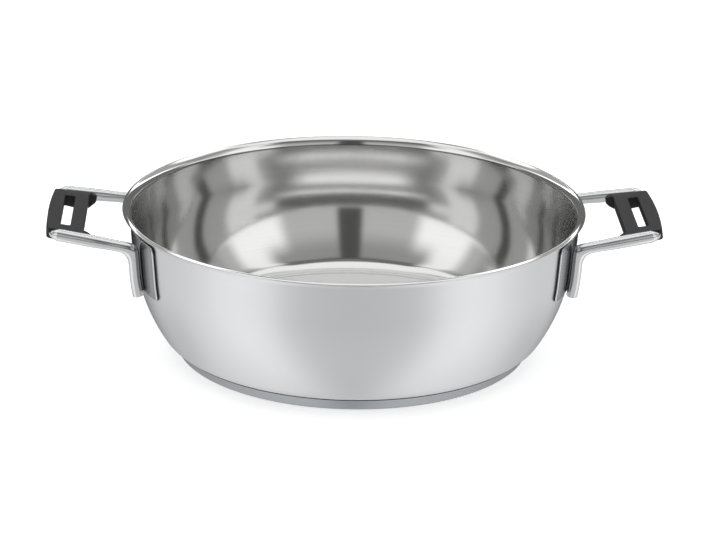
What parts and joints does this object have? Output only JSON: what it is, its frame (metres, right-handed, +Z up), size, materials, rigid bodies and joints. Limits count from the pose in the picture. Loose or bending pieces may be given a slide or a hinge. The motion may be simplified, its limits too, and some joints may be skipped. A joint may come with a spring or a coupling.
{
  "type": "serving pan",
  "caption": "Two-handled stainless-steel serving pan with a flared pouring lip, an encapsulated base and slotted black grips on polished steel bow handles",
  "frame": {"origin": "Centre of the flat underside of the base, on the surface that the pan stands on", "axes": "X runs from handle to handle, Z is up, and the pictured side faces -Y"},
  "size_m": [0.3862, 0.292, 0.095],
  "materials": {
    "satin_steel": "satin outside, polished inside",
    "core_aluminium": "plain",
    "cap_steel": "satin",
    "polished_steel": "polished",
    "black_plastic": "fine matte"
  },
  "bodies": {
    "root": {"pan_body": "satin_steel", "base_core": "core_aluminium", "base_cap": "cap_steel", "right_handle_bow": "polished_steel", "right_handle_grip": "black_plastic", "right_front_plate": "polished_steel", "right_rear_plate": "polished_steel", "left_handle_bow": "polished_steel", "left_handle_grip": "black_plastic", "left_front_plate": "polished_steel", "left_rear_plate": "polished_steel"}
  },
  "joints": []
}
